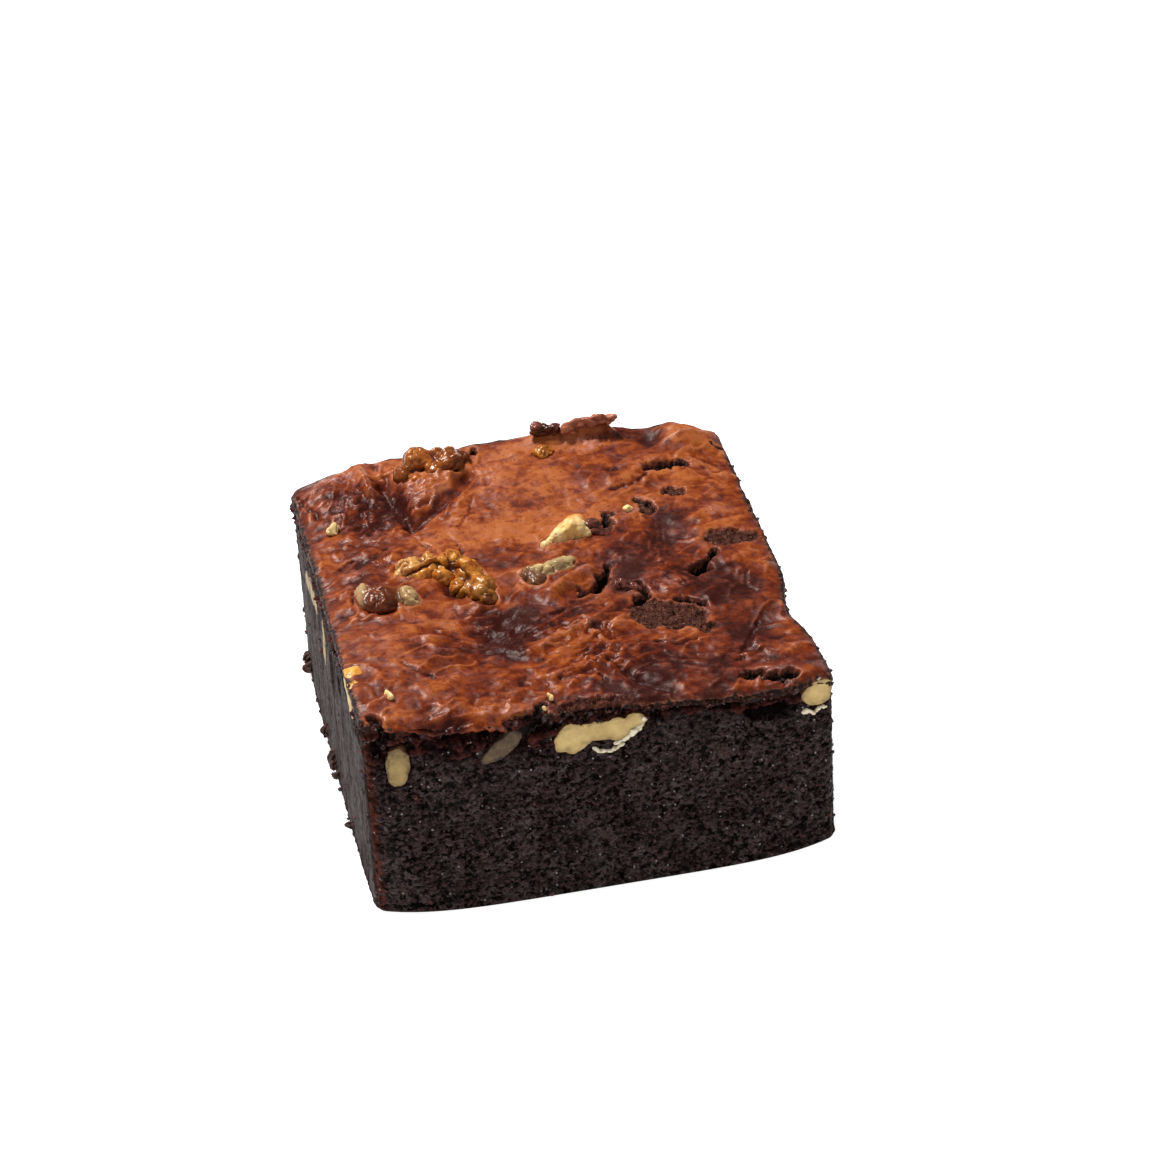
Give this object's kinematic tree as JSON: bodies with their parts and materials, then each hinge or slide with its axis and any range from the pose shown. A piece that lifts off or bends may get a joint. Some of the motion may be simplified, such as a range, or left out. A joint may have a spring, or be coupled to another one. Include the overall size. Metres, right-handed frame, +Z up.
{
  "type": "chocolate brownie",
  "caption": "Square chocolate brownie cut from a tray bake, with a crackled crust, a dense crumb and walnuts in the crust and the cut faces.",
  "frame": {"origin": "on the flat underside, under the middle of the square", "axes": "+Z up, -Y out of the front cut face with the walnuts in a row, +X to the right of that face"},
  "size_m": [0.0764, 0.0833, 0.0403],
  "materials": {
    "crumb_and_crust": "soft satin crust over a dense matt crumb",
    "toasted_nut": "oily toasted skin",
    "cut_nut": "matt cut kernel"
  },
  "bodies": {
    "root": {"brownie_block": "crumb_and_crust", "walnut_half": "toasted_nut", "walnut_chip": "toasted_nut", "walnut_middle": "toasted_nut", "walnut_left": "toasted_nut", "walnut_back": "toasted_nut", "walnut_front_left": "cut_nut", "walnut_front_sunk": "cut_nut", "walnut_front_middle": "cut_nut", "walnut_front_right": "cut_nut", "walnut_left_rear": "cut_nut", "walnut_left_middle": "cut_nut", "walnut_left_rim": "cut_nut", "walnut_right_side": "cut_nut", "walnut_back_side": "cut_nut"}
  },
  "joints": []
}
